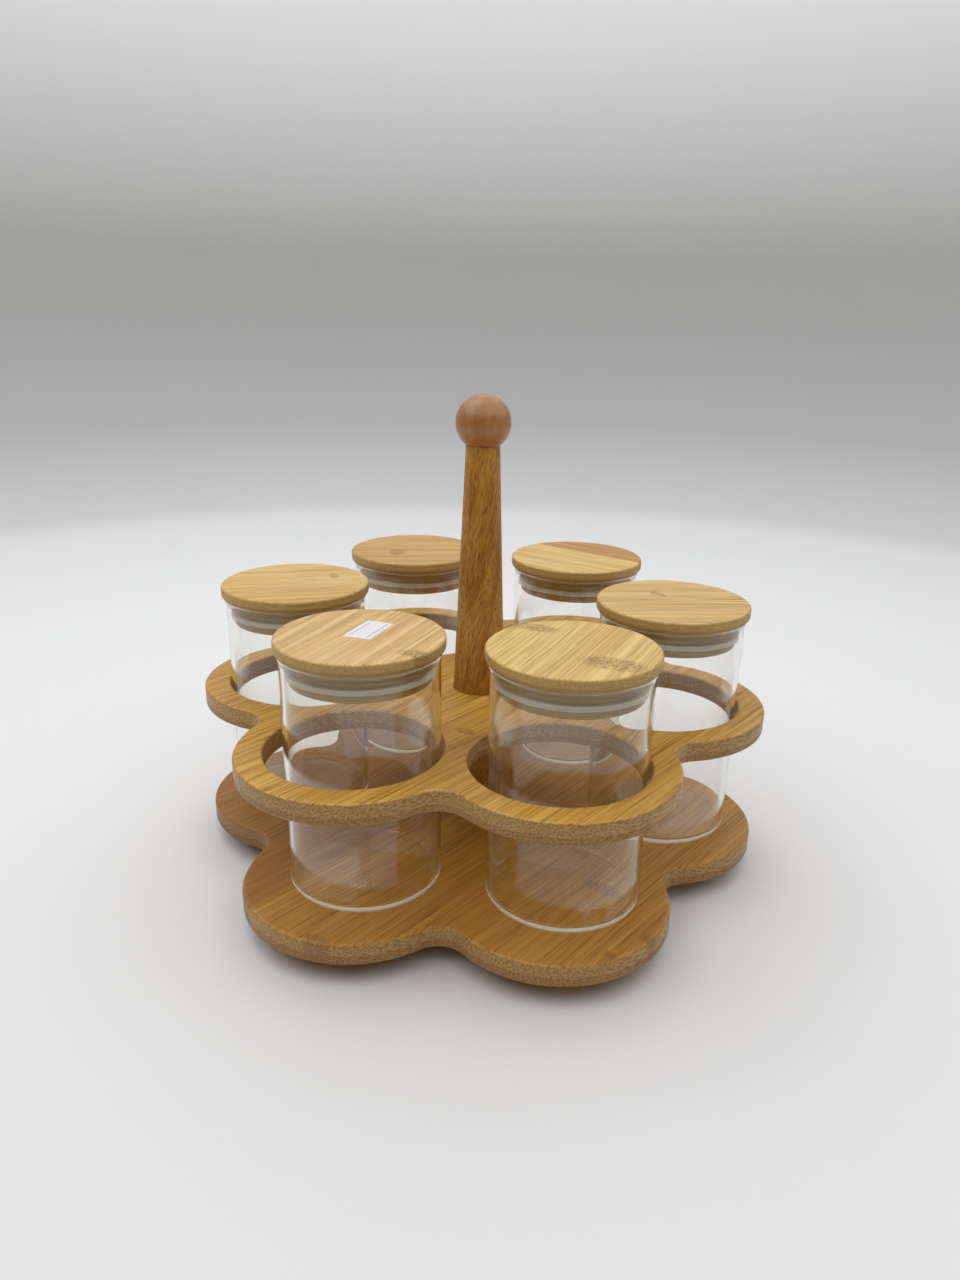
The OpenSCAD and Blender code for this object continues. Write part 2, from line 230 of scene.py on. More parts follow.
def piece_from(bm, name, sharp=35):
    """Close seams and poles, point the faces outwards and make the object."""
    bmesh.ops.remove_doubles(bm, verts=bm.verts, dist=0.001 * MM)
    bmesh.ops.dissolve_degenerate(bm, edges=bm.edges, dist=0.001 * MM)
    bmesh.ops.recalc_face_normals(bm, faces=bm.faces)
    mesh = bpy.data.meshes.new(name)
    bm.to_mesh(mesh)
    bm.free()
    mesh.shade_smooth()
    mesh.set_sharp_from_angle(angle=math.radians(sharp))
    piece = bpy.data.objects.new(name, mesh)
    bpy.context.scene.collection.objects.link(piece)
    evened = piece.modifiers.new("Even shading", "WEIGHTED_NORMAL")
    evened.keep_sharp = True
    return piece


def turned_pieces(name, points, middles, steps=128, closed=False):
    """Like pieces turned on a lathe, from their outline of (radius, height, rounding)."""
    turned = bmesh.new()
    sweep(turned, section(turned, points, AXIS, 0.0, closed), AXIS, math.tau, steps)
    pieces = []
    for n, middle in enumerate(middles, 1):
        bm = turned.copy()
        bmesh.ops.translate(bm, verts=bm.verts, vec=middle)
        pieces.append(piece_from(bm, f"{name}_{n}" if len(middles) > 1 else name))
    turned.free()
    return pieces


def stands_for(piece, node, material):
    """The piece takes the given material, rides where the CAD node rides and stands in its place."""
    piece.data.materials.append(material)
    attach(piece, BODY_OF[node])
    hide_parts(node)


def middle_of(node):
    """The upright axis of a round CAD node."""
    low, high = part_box(node)
    return Vector(((low.x + high.x) / 2, (low.y + high.y) / 2, 0))


def round_the_axis(radius, half_steps):
    """Points on a circle round the rack's axis, at these half steps between the lobes."""
    turns = [h * math.pi / JARS for h in half_steps]
    return [Vector((math.cos(a), math.sin(a), 0)) * radius for a in turns]


def holes(bm, points, middles, steps):
    """Turn one hole's wall from its outline and set a copy at each middle."""
    wall = bmesh.new()
    sweep(wall, section(wall, points, AXIS, 0.0), AXIS, math.tau, steps)
    one = bpy.data.meshes.new("hole")
    for middle in middles:
        bmesh.ops.translate(wall, verts=wall.verts, vec=middle)
        wall.to_mesh(one)
        bm.from_mesh(one)
        bmesh.ops.translate(wall, verts=wall.verts, vec=-middle)
    wall.free()
    bpy.data.meshes.remove(one)


def cap(bm, height):
    """Fill a board's flat face between all the open edges at one height."""
    edges = [e for e in bm.edges if e.is_boundary and all(abs(v.co.z - height) < 1e-7 for v in e.verts)]
    bmesh.ops.triangle_fill(bm, edges=edges, use_beauty=True, use_dissolve=False, normal=(0, 0, 1))


def lobed_edge(bm, sizes, low, high, edge_low, edge_top):
    """The board's outer edge: one section, turned by turns round each lobe and each hollow curve."""
    step = math.tau / JARS
    reach = sizes.lobe_radius + sizes.hollow_radius
    hollow = math.asin(sizes.lobe_circle * math.sin(step / 2) / reach)
    hollow_circle = sizes.lobe_circle * math.cos(step / 2) + reach * math.cos(hollow)
    lobes = round_the_axis(sizes.lobe_circle, range(0, 2 * JARS, 2))
    hollows = round_the_axis(hollow_circle, range(1, 2 * JARS, 2))
    r = sizes.lobe_radius
    inner = r - sizes.shoulder
    points = [(inner, low, 0), (r, low, edge_low), (r, high, edge_top), (inner, high, 0)]
    geom = section(bm, points, lobes[0], -step / 2 - hollow)
    for lobe, between in zip(lobes, hollows):
        geom = sweep(bm, geom, lobe, step + 2 * hollow, 56)
        geom = sweep(bm, geom, between, -2 * hollow, 16)


def make_base_board(sizes, post):
    """The board on which the jars stand, with the bores for its screws."""
    low, high = BASE_LOW.z, BASE_HIGH.z
    bm = bmesh.new()
    lobed_edge(bm, sizes, low, high, sizes.base_edge_low, sizes.base_edge_top)
    holes(bm, [(post.screw_radius, low, 0), (post.screw_radius, high, 0)], [AXIS], 32)
    r, tip = sizes.pilot_radius, SMALL_SCREWS_HIGH.z
    holes(bm, [(r, low, 0), (r, tip - r, 0), (0, tip, 0)],
          round_the_axis(sizes.screw_circle, range(1, 2 * JARS, 2)), 24)
    bmesh.ops.remove_doubles(bm, verts=bm.verts, dist=0.001 * MM)
    cap(bm, low)
    cap(bm, high)
    return piece_from(bm, "bamboo_base")


def make_ring_board(sizes, post):
    """The upper board, with six rounded holes and the tapered middle hole for the post."""
    low, high = RING_LOW.z, RING_HIGH.z
    edge = sizes.ring_edge
    bm = bmesh.new()
    lobed_edge(bm, sizes, low, high, edge, edge)
    r = sizes.hole_radius
    outer = r + sizes.shoulder
    holes(bm, [(outer, low, 0), (r, low, edge), (r, high, edge), (outer, high, 0)],
          round_the_axis(sizes.lobe_circle, range(0, 2 * JARS, 2)), 112)
    holes(bm, [(post_radius(post, z) + sizes.joint_gap, z, 0) for z in (low, high)], [AXIS], 64)
    bmesh.ops.remove_doubles(bm, verts=bm.verts, dist=0.001 * MM)
    cap(bm, low)
    cap(bm, high)
    return piece_from(bm, "bamboo_ring")


def post_radius(post, z):
    """The post's radius at a height."""
    share = (z - POST_LOW.z) / (POST_HIGH.z - POST_LOW.z)
    return post.foot_radius + (post.top_radius - post.foot_radius) * share


def make_post(post):
    """The tapered post, bored for the screw in its foot and the pin in its top."""
    low, high = POST_LOW.z, POST_HIGH.z
    r = post.screw_radius
    return turned_pieces("turned_post", [
        (0, SCREW_HIGH.z, 0), (r, SCREW_HIGH.z - post.screw_point, 0), (r, low, 0),
        (post.foot_radius, low, post.foot_edge), (post.top_radius, high, post.top_edge),
        (post.pin_radius, high, 0), (post.pin_radius, PIN_LOW.z, 0), (0, PIN_LOW.z, 0)], [AXIS])[0]


def make_ball(post):
    """The ball, flat where it sits on the post and bored for the pin."""
    r = post.ball_radius
    centre = Vector((0, 0, BALL_HIGH.z - r))
    drop = centre.z - BALL_LOW.z
    bm = bmesh.new()
    top = bm.verts.new((0, 0, BALL_HIGH.z))
    arc = bmesh.ops.spin(bm, geom=[top], cent=centre, axis=(0, 1, 0), use_merge=False,
                         angle=math.pi - math.acos(drop / r), steps=48)
    last = next(v for v in arc["geom_last"] if isinstance(v, bmesh.types.BMVert))
    bore = [(post.pin_radius, BALL_LOW.z), (post.pin_radius, PIN_HIGH.z), (0, PIN_HIGH.z)]
    for x, z in bore:
        corner = bm.verts.new((x, 0, z))
        bm.edges.new((last, corner))
        last = corner
    sweep(bm, bm.verts[:] + bm.edges[:], AXIS, math.tau, 96)
    return piece_from(bm, "turned_ball")


def middles_of(name):
    """The upright axes of six like CAD nodes."""
    return [middle_of(f"{name}_{n}") for n in range(1, JARS + 1)]


def make_jars(jar):
    """The jars of blown glass: rounded heel, hollow underside, and a lip that swells where it melted. A
    hair's breadth of air stays between the glass and the wood above and below it."""
    low, high = JAR_LOW.z + jar.air, JAR_HIGH.z - jar.air
    inner = jar.radius - jar.wall
    swell = jar.radius + jar.lip_swell
    return turned_pieces("glass_jar", [
        (0, low + jar.punt, 0), (jar.punt_radius, low, 1.5 * MM), (jar.radius, low, jar.heel),
        (jar.radius, high - 3 * jar.lip, jar.lip), (swell, high - 2 * jar.lip, 0),
        (swell, high, jar.lip), (inner, high, jar.lip), (inner, low + jar.floor, jar.inner_heel),
        (0, low + jar.floor, 0)], middles_of("glass_jar"))


def make_lids(jar):
    """The turned lids, each in one piece: the disc, the plug and the seal's groove."""
    lip = JAR_HIGH.z
    return turned_pieces("wooden_lid", [
        (0, LID_LOW.z, 0), (jar.plug_radius, LID_LOW.z, jar.plug_edge),
        (jar.plug_radius, SEAL_LOW.z, 0.15 * MM), (jar.groove_radius, SEAL_LOW.z, 0),
        (jar.groove_radius, SEAL_HIGH.z, 0), (jar.plug_radius, SEAL_HIGH.z, 0.15 * MM),
        (jar.plug_radius, lip, 0), (jar.disc_radius, lip, jar.disc_edge_low),
        (jar.disc_radius, LID_HIGH.z, jar.disc_edge_top), (0, LID_HIGH.z, 0)], middles_of("lid"))


def make_seals(jar):
    """The rubber seals: a band in the lid's groove whose two lips touch the glass."""
    low, high, lip = SEAL_LOW.z, SEAL_HIGH.z, jar.seal_lip
    out = half_width(SEAL_LOW, SEAL_HIGH) * MM
    soft = 0.25 * MM
    return turned_pieces("rubber_seal", [
        (jar.groove_radius, low, 0), (out, low, soft), (out, low + lip, soft),
        (jar.seal_core, low + lip, soft), (jar.seal_core, high - lip, soft), (out, high - lip, soft),
        (out, high, soft), (jar.groove_radius, high, 0)], middles_of("seal"), closed=True)


# The lid with the label, and the label's turn on it
LABEL_LID = 5
LABEL_TURN = math.radians(76)


def make_label(jar):
    """The stuck-on paper label, blank, with rounded corners and a small tear in one long side."""
    half_l, half_w = jar.label_length / 2, jar.label_width / 2
    notch = jar.label_notch
    outline = [(-half_l, -half_w), (notch, -half_w), (1.5 * notch, notch - half_w), (2 * notch, -half_w),
               (half_l, -half_w), (half_l, half_w), (-half_l, half_w)]
    bm = bmesh.new()
    row = [bm.verts.new((x, y, LABEL_LOW.z)) for x, y in outline]
    edges = [bm.edges.new((a, b)) for a, b in zip(row, row[1:] + row[:1])]
    bmesh.ops.contextual_create(bm, geom=edges)
    corners = [v for v in bm.verts if abs(abs(v.co.x) - half_l) < 1e-7]
    bmesh.ops.bevel(bm, geom=corners, offset=jar.label_corner, offset_type="OFFSET", segments=5,
                    profile=0.5, affect="VERTICES", material=-1)
    raised = bmesh.ops.extrude_face_region(bm, geom=bm.faces[:])
    upper = [v for v in raised["geom"] if isinstance(v, bmesh.types.BMVert)]
    bmesh.ops.translate(bm, verts=upper, vec=(0, 0, LABEL_HIGH.z - LABEL_LOW.z))
    middle = middle_of("price_label")
    bmesh.ops.transform(bm, verts=bm.verts, matrix=Matrix.Translation(middle) @ Matrix.Rotation(LABEL_TURN, 4, "Z"))
    return piece_from(bm, "blank_label")


def add(tree, kind, inputs=(), out=0, stops=(), **settings):
    """Add a shader node with its settings and any colour stops, and feed its inputs with values or with
    other nodes' outputs. Returns one of its outputs."""
    node = tree.nodes.new("ShaderNode" + kind)
    for name, value in settings.items():
        setattr(node, name, value)
    for key, value in dict(inputs).items():
        if isinstance(value, bpy.types.NodeSocket):
            tree.links.new(value, node.inputs[key])
        else:
            node.inputs[key].default_value = value
    for place, tone in stops:
        node.color_ramp.elements.new(place).color = tone
    if stops:
        node.color_ramp.elements.remove(node.color_ramp.elements[0])
        node.color_ramp.elements.remove(node.color_ramp.elements[-1])
    return node.outputs[out] if node.outputs else None


def blank_material(name):
    """A material with an empty node tree."""
    material = bpy.data.materials.new(name)
    material.use_nodes = True
    material.node_tree.nodes.clear()
    return material, material.node_tree


def finish_material(tree, inputs):
    """Close a material with one Principled shader."""
    shader = add(tree, "BsdfPrincipled", inputs)
    add(tree, "OutputMaterial", {"Surface": shader})


def streaks(tree, at, size, low, high, detail=2.0):
    """Noise drawn out to a size in millimetres (along, across and up the grain), as a factor that rises
    from 0 to 1 between two of its levels."""
    drawn = add(tree, "VectorMath", {0: at, 1: [1 / s for s in size]}, operation="MULTIPLY")
    noise = add(tree, "TexNoise", {"Vector": drawn, "Scale": 1.0, "Detail": detail, "Roughness": 0.55})
    return add(tree, "MapRange", {"Value": noise, "From Min": low, "From Max": high})


def bundles(tree, at, pitch, wide, narrow):
    """Fibre bundles that run the whole length of the grain at a pitch in millimetres: 1 inside the narrow
    radius and 0 outside the wide one, both as shares of the pitch."""
    parts = add(tree, "VectorMath", {0: at, 1: (0.0, 1 / pitch, 1 / pitch)}, operation="MULTIPLY")
    across = add(tree, "SeparateXYZ", {"Vector": parts}, out="Y")
    up = add(tree, "SeparateXYZ", {"Vector": parts}, out="Z")
    cell = add(tree, "CombineXYZ", {"X": across, "Y": up})
    near = add(tree, "TexVoronoi", {"Vector": cell, "Scale": 1.0}, voronoi_dimensions="2D")
    return add(tree, "MapRange", {"Value": near, "From Min": wide, "From Max": narrow})


def node_marks(tree, place, at, grain, marks, speckle, tone, mark_tone):
    """Clusters of brown dashes in a faint brown haze, where the culm had a node."""
    for x, y, half_l, half_w in marks:
        spot = add(tree, "Mapping", {"Vector": place, "Location": Vector(at) + Vector((x, y, 0)) * MM,
                                     "Rotation": (0, 0, math.radians(grain)),
                                     "Scale": (half_l * MM, half_w * MM, 1.0)}, vector_type="TEXTURE")
        far = add(tree, "VectorMath", {0: spot}, out="Value", operation="LENGTH")
        near = add(tree, "MapRange", {"Value": far, "From Min": 1.15, "From Max": 0.7})
        depth = add(tree, "MapRange", {"Value": speckle, "To Min": 0.2, "To Max": 0.8})
        depth = add(tree, "Math", {0: near, 1: depth}, operation="MULTIPLY")
        tone = add(tree, "Mix", {0: depth, MIX_A: tone, MIX_B: mark_tone}, out=MIX_RESULT, data_type="RGBA")
    return tone


def bamboo(name, tones, grain, at=AXIS, seed=0, layer=(0.0, "#ffffff", 1.0), marks=(), second=None,
           tint="#ffffff", gloss=0.38, lines=1.0, ends=1.0):
    """Bamboo under a thin clear lacquer. Its fibres run straight as fine brown lines and end as dots on
    the rims, which are duller and browner than the faces: partly the cut wood's own colour and partly
    painted shade on the faces that stand upright. tones are the pale, warm, fibre and rim colours and that
    of the node marks. layer is the height under which the wood is tinted, its tint and its share of
    fibres: on a board the other ply, on a lid the plug and the disc's lower edge, greyed as painted
    shade. lines and ends are how strongly the fibres show on the faces and on the rims. Lengths are in
    millimetres."""
    material, tree = blank_material(name)
    pale, warm, fibre, rim, mark_tone = tones
    turn = math.radians(grain)
    place = add(tree, "TexCoord", out="Object")
    along = add(tree, "Mapping", {"Vector": place, "Location": at, "Rotation": (0, 0, turn),
                                  "Scale": (MM, MM, MM)}, vector_type="TEXTURE")
    moved = add(tree, "VectorMath", {0: along, 1: (91.0 * seed, 37.0 * seed, 13.0 * seed)}, operation="ADD")
    # Fibres wander by about half a millimetre over 60 mm
    wander = add(tree, "TexNoise", {"Vector": moved, "Scale": 1 / 60, "Detail": 1.0}, out="Color")
    bent = add(tree, "VectorMath", {0: wander, 1: (0.0, 1.2, 0.9), 2: moved}, operation="MULTIPLY_ADD")
    bands = streaks(tree, bent, (160, 4.5, 7), 0.38, 0.62)
    region = streaks(tree, bent, (70, 7, 9), 0.4, 0.6)
    fine = streaks(tree, bent, (50, 0.5, 0.9), 0.5, 0.6, detail=1.0)
    strong = streaks(tree, bent, (80, 0.9, 1.8), 0.58, 0.63, detail=1.0)
    # Bundles stand 1 mm apart, which is a little coarser than real, so that they show
    vessels = bundles(tree, bent, 1.0, 0.5, 0.24)
    breaks = streaks(tree, bent, (26, 1.5, 1.5), 0.42, 0.62)
    # Below the layer's height, a board's other ply and a lid's plug and lower edge, which carry painted shade, have
    # their own share of fibres
    height = add(tree, "SeparateXYZ", {"Vector": along}, out="Z")
    below = add(tree, "MapRange", {"Value": height, "From Min": layer[0] + 0.3, "From Max": layer[0] - 0.3})
    share = add(tree, "MapRange", {"Value": below, "To Min": 1.0, "To Max": layer[2]})
    # Rims are where the surface stands upright. Their tone is partly the cut wood's own and partly painted shade
    facing = add(tree, "TexCoord", out="Normal")
    up = add(tree, "SeparateXYZ", {"Vector": facing}, out="Z")
    up = add(tree, "Math", {0: up}, operation="ABSOLUTE")
    side = add(tree, "MapRange", {"Value": up, "From Min": 0.9, "From Max": 0.35})
    tone = add(tree, "Mix", {0: bands, MIX_A: pale, MIX_B: warm}, out=MIX_RESULT, data_type="RGBA")
    tone = add(tree, "Mix", {0: 1.0, MIX_A: tone, MIX_B: linear(tint)}, out=MIX_RESULT, data_type="RGBA",
               blend_type="MULTIPLY")
    # Upright faces take the rim tone: the cut wood's own colour with painted shade
    tone = add(tree, "Mix", {0: side, MIX_A: tone, MIX_B: rim}, out=MIX_RESULT, data_type="RGBA")
    # Below the layer's height the wood is tinted: a board's other ply, and on a lid painted shade
    tone = add(tree, "Mix", {0: below, MIX_A: tone, MIX_B: linear(layer[1])}, out=MIX_RESULT,
               data_type="RGBA", blend_type="MULTIPLY")
    # Lines are strong in some regions and faint in others. On the rims the bundles' ends show as dots
    depth = add(tree, "MapRange", {"Value": region, "To Min": 0.15, "To Max": 0.5})
    depth = add(tree, "Math", {0: depth, 1: fine}, operation="MULTIPLY")
    depth = add(tree, "Math", {0: strong, 1: 0.35, 2: depth}, operation="MULTIPLY_ADD")
    drawn = add(tree, "MapRange", {"Value": side, "To Min": lines, "To Max": 0.4})
    depth = add(tree, "Math", {0: depth, 1: drawn}, operation="MULTIPLY")
    broken = add(tree, "Math", {0: breaks, 1: lines}, operation="MULTIPLY")
    seen = add(tree, "MapRange", {"Value": side, "To Min": broken, "To Max": ends})
    seen = add(tree, "Math", {0: seen, 1: vessels}, operation="MULTIPLY")
    depth = add(tree, "Math", {0: seen, 1: 0.6, 2: depth}, operation="MULTIPLY_ADD")
    depth = add(tree, "Math", {0: depth, 1: share}, operation="MULTIPLY", use_clamp=True)
    tone = add(tree, "Mix", {0: depth, MIX_A: tone, MIX_B: fibre}, out=MIX_RESULT, data_type="RGBA")
    if second:
        # A second, browner strip beyond a glue line
        across = add(tree, "SeparateXYZ", {"Vector": along}, out="Y")
        beyond = add(tree, "MapRange", {"Value": across, "From Min": second[0], "From Max": second[0] + 0.15})
        tone = add(tree, "Mix", {0: beyond, MIX_A: tone, MIX_B: linear(second[1])}, out=MIX_RESULT,
                   data_type="RGBA", blend_type="MULTIPLY")
    speckle = streaks(tree, bent, (2.6, 0.5, 0.5), 0.46, 0.56, detail=1.0)
    tone = node_marks(tree, place, at, grain, marks, speckle, tone, mark_tone)
    # The fibres show through the lacquer as grooves 0.02 mm deep
    bump = add(tree, "Bump", {"Height": depth, "Strength": 0.5, "Distance": 0.02 * MM}, invert=True)
    rough = add(tree, "MapRange", {"Value": depth, "To Min": gloss, "To Max": gloss + 0.12})
    finish_material(tree, {"Base Color": tone, "Roughness": rough, "Specular IOR Level": 0.5,
                           "Normal": bump})
    return material


def hardwood(name, light, dark, pore, lean, pores, gloss, seed, shine=0.25):
    """Open-pored hardwood, turned on a lathe and varnished. Its pores show as short dark dashes along a
    grain that leans from the piece's axis, over soft growth rings and pale flecks. shine is the varnish's
    specular level."""
    material, tree = blank_material(name)
    place = add(tree, "TexCoord", out="Object")
    along = add(tree, "Mapping", {"Vector": place, "Location": (-0.02, 0.03 * seed, 0.0),
                                  "Rotation": (0.0, math.radians(lean), math.radians(7)),
                                  "Scale": (MM, MM, MM)}, vector_type="TEXTURE")
    # The grain swings by a few millimetres over 50 mm
    swing = add(tree, "TexNoise", {"Vector": along, "Scale": 1 / 50, "Detail": 1.0}, out="Color")
    bent = add(tree, "VectorMath", {0: swing, 1: (9.0, 9.0, 0.0), 2: along}, operation="MULTIPLY_ADD")
    rings = streaks(tree, bent, (5, 5, 45), 0.35, 0.65, detail=3.0)
    flecks = streaks(tree, bent, (0.9, 0.9, 9), 0.5, 0.68)
    coarse = streaks(tree, bent, (0.6, 0.6, 7), 0.54, 0.68, detail=1.0)
    fine = streaks(tree, bent, (0.4, 0.4, 5), 0.48, 0.66, detail=1.0)
    tone = add(tree, "Mix", {0: rings, MIX_A: light, MIX_B: dark}, out=MIX_RESULT, data_type="RGBA")
    pale = add(tree, "Math", {0: flecks, 1: 0.35 * pores + 0.05}, operation="MULTIPLY")
    tone = add(tree, "Mix", {0: pale, MIX_A: tone, MIX_B: linear("#e8c07a")}, out=MIX_RESULT,
               data_type="RGBA")
    depth = add(tree, "Math", {0: fine, 1: 0.6, 2: coarse}, operation="MULTIPLY_ADD")
    depth = add(tree, "Math", {0: depth, 1: pores}, operation="MULTIPLY", use_clamp=True)
    tone = add(tree, "Mix", {0: depth, MIX_A: tone, MIX_B: pore}, out=MIX_RESULT, data_type="RGBA")
    bump = add(tree, "Bump", {"Height": depth, "Strength": 0.5, "Distance": 0.05 * MM}, invert=True)
    rough = add(tree, "MapRange", {"Value": depth, "To Min": gloss, "To Max": gloss + 0.2})
    finish_material(tree, {"Base Color": tone, "Roughness": rough, "Specular IOR Level": shine,
                           "Normal": bump})
    return material


def borosilicate_glass(tint):
    """Blown borosilicate glass: clear and polished, with a faint ripple that bends what is seen in it."""
    material, tree = blank_material("Borosilicate glass")
    place = add(tree, "TexCoord", out="Object")
    # Ripples of about 25 mm
    ripple = add(tree, "TexNoise", {"Vector": place, "Scale": 1 / (25 * MM), "Detail": 1.0})
    bump = add(tree, "Bump", {"Height": ripple, "Strength": 0.3, "Distance": 0.1 * MM})
    finish_material(tree, {"Base Color": tint, "Roughness": 0.0, "IOR": 1.47, "Specular IOR Level": 0.2,
                           "Transmission Weight": 1.0, "Normal": bump})
    return material


def glass_with_painted_glint(name, tint, tone, glint_from=0.3):
    """A jar's foot or lip: clear when looked through, and pale along the surface where it is seen at a
    slant, a painted glint that stands in for the light which the glass leads to it. tint is the clear
    glass and tone the painted glint, which begins where the surface slants by the share glint_from."""
    material, tree = blank_material(name)
    place = add(tree, "TexCoord", out="Object")
    # Noise makes the painted glint uneven
    glint_noise = add(tree, "TexNoise", {"Vector": place, "Scale": 1 / (0.8 * MM), "Detail": 3.0})
    uneven_glint = add(tree, "MapRange", {"Value": glint_noise, "From Min": 0.3, "From Max": 0.7, "To Min": 0.75})
    # Seen at a slant, the glass turns pale and less clear: the painted glint
    slant = add(tree, "LayerWeight", {"Blend": 0.5}, out="Facing")
    cloudy = add(tree, "MapRange", {"Value": slant, "From Min": glint_from, "From Max": 0.5})
    glint_amount = add(tree, "Math", {0: cloudy, 1: uneven_glint}, operation="MULTIPLY")
    mixed = add(tree, "Mix", {0: glint_amount, MIX_A: tint, MIX_B: linear(tone)}, out=MIX_RESULT, data_type="RGBA")
    clear = add(tree, "MapRange", {"Value": cloudy, "To Min": 1.0, "To Max": 0.4})
    finish_material(tree, {"Base Color": mixed, "Roughness": 0.0, "IOR": 1.47, "Specular IOR Level": 0.2,
                           "Transmission Weight": clear})
    return material


def silicone_rubber(tone):
    """Moulded silicone rubber: whitish, cloudy and a little see-through."""
    material, tree = blank_material("Silicone rubber")
    place = add(tree, "TexCoord", out="Object")
    cloud = add(tree, "TexNoise", {"Vector": place, "Scale": 1 / (3 * MM), "Detail": 2.0})
    rough = add(tree, "MapRange", {"Value": cloud, "To Min": 0.35, "To Max": 0.5})
    finish_material(tree, {"Base Color": tone, "Roughness": rough, "IOR": 1.41, "Transmission Weight": 0.35,
                           "Subsurface Weight": 0.2, "Subsurface Scale": 1.0 * MM})
    return material


def label_paper(paper, ruling, jar):
    """Coated label paper with two thin ruled lines along it and nothing written between them."""
    material, tree = blank_material("Label paper")
    place = add(tree, "TexCoord", out="Object")
    along = add(tree, "Mapping", {"Vector": place, "Location": middle_of("price_label"),
                                  "Rotation": (0, 0, LABEL_TURN), "Scale": (MM, MM, MM)},
                vector_type="TEXTURE")
    across = add(tree, "SeparateXYZ", {"Vector": along}, out="Y")
    away = add(tree, "Math", {0: across}, operation="ABSOLUTE")
    # Each line is 0.3 mm wide, 2.2 mm in from a long side
    line_at = jar.label_width / 2 / MM - 2.2
    away = add(tree, "Math", {0: away, 1: line_at}, operation="SUBTRACT")
    away = add(tree, "Math", {0: away}, operation="ABSOLUTE")
    line = add(tree, "MapRange", {"Value": away, "From Min": 0.22, "From Max": 0.12})
    sideways = add(tree, "SeparateXYZ", {"Vector": along}, out="X")
    sideways = add(tree, "Math", {0: sideways}, operation="ABSOLUTE")
    ends = add(tree, "Math", {0: sideways, 1: jar.label_length / 2 / MM - 1.6}, operation="LESS_THAN")
    line = add(tree, "Math", {0: line, 1: ends}, operation="MULTIPLY")
    tone = add(tree, "Mix", {0: line, MIX_A: paper, MIX_B: ruling}, out=MIX_RESULT, data_type="RGBA")
    # Paper fibres of about 0.3 mm
    fibre = add(tree, "TexNoise", {"Vector": along, "Scale": 1 / 0.3, "Detail": 2.0})
    bump = add(tree, "Bump", {"Height": fibre, "Strength": 0.3, "Distance": 0.01 * MM})
    finish_material(tree, {"Base Color": tone, "Roughness": 0.55, "Normal": bump})
    return material


def machined_metal(name, tone, gloss, pitch):
    """Machined metal with turning marks: fine rings about the rack's axis, pitch in millimetres."""
    material, tree = blank_material(name)
    place = add(tree, "TexCoord", out="Object")
    flat = add(tree, "VectorMath", {0: place, 1: (1 / MM, 1 / MM, 0.0)}, operation="MULTIPLY")
    out = add(tree, "VectorMath", {0: flat}, out="Value", operation="LENGTH")
    rings = add(tree, "TexNoise", {"W": out, "Scale": 1 / pitch, "Detail": 2.0}, noise_dimensions="1D")
    bump = add(tree, "Bump", {"Height": rings, "Strength": 0.4, "Distance": 0.01 * MM})
    rough = add(tree, "MapRange", {"Value": rings, "To Min": gloss, "To Max": gloss + 0.15})
    finish_material(tree, {"Base Color": tone, "Metallic": 1.0, "Roughness": rough, "Normal": bump})
    return material


def mottled(name, tone, gloss, spot, depth, metallic=0.0):
    """A plain moulded or plated surface: spots of uneven gloss and a fine grain, spot in millimetres."""
    material, tree = blank_material(name)
    place = add(tree, "TexCoord", out="Object")
    grain = add(tree, "TexNoise", {"Vector": place, "Scale": 1 / (spot * MM), "Detail": 3.0})
    shade = add(tree, "MapRange", {"Value": grain, "To Min": 0.85, "To Max": 1.1})
    shade = add(tree, "CombineColor", {0: shade, 1: shade, 2: shade})
    mixed = add(tree, "Mix", {0: 1.0, MIX_A: tone, MIX_B: shade}, out=MIX_RESULT, data_type="RGBA",
                blend_type="MULTIPLY")
    bump = add(tree, "Bump", {"Height": grain, "Strength": 0.4, "Distance": depth * MM})
    rough = add(tree, "MapRange", {"Value": grain, "To Min": gloss - 0.08, "To Max": gloss + 0.08})
    finish_material(tree, {"Base Color": mixed, "Metallic": metallic, "Roughness": rough, "Normal": bump})
    return material


# Greys of the backdrop's wall by height, in metres: painted shade, darkest at 0.33 m, paler at the floor and the
# top
WALL_TOP = 0.8
WALL_SHADE_GREYS = [(0.0, "#f0f0f0"), (0.015, "#dadada"), (0.11, "#bcbcbc"), (0.33, "#b2b2b0"), (0.58, "#e6e6e6"),
        (WALL_TOP, "#e9e9e9")]


def matt_paint(floor, front_wall):
    """Matt paint on the floor and backdrop. The wall is a little greyer than the floor, with painted shade
    that changes with height, and its front part is darker, painted shade that stands in for a dark room,
    so that the glass has something dark to reflect."""
    material, tree = blank_material("Matt backdrop paint")
    place = add(tree, "TexCoord", out="Object")
    height = add(tree, "SeparateXYZ", {"Vector": place}, out="Z")
    depth = add(tree, "SeparateXYZ", {"Vector": place}, out="Y")
    share = add(tree, "Math", {0: height, 1: WALL_TOP}, operation="DIVIDE")
    # The wall's greys by height are painted shade
    wall = add(tree, "ValToRGB", {0: share}, stops=[(z / WALL_TOP, linear(tone)) for z, tone in WALL_SHADE_GREYS])
    rise = add(tree, "MapRange", {"Value": height, "From Min": 0.0, "From Max": 0.02})
    # The front part of the wall is painted shade
    front = add(tree, "MapRange", {"Value": depth, "From Min": -0.1, "From Max": -0.4},
                interpolation_type="SMOOTHSTEP")
    wall = add(tree, "Mix", {0: front, MIX_A: wall, MIX_B: front_wall}, out=MIX_RESULT, data_type="RGBA")
    tone = add(tree, "Mix", {0: rise, MIX_A: floor, MIX_B: wall}, out=MIX_RESULT, data_type="RGBA")
    finish_material(tree, {"Base Color": tone, "Roughness": 0.8})
    return material


def board_tones(colours):
    """The tones of the two boards' bamboo."""
    return (colours.board_pale, colours.board_warm, colours.board_fibre, colours.board_rim_with_shade,
            colours.node_mark)


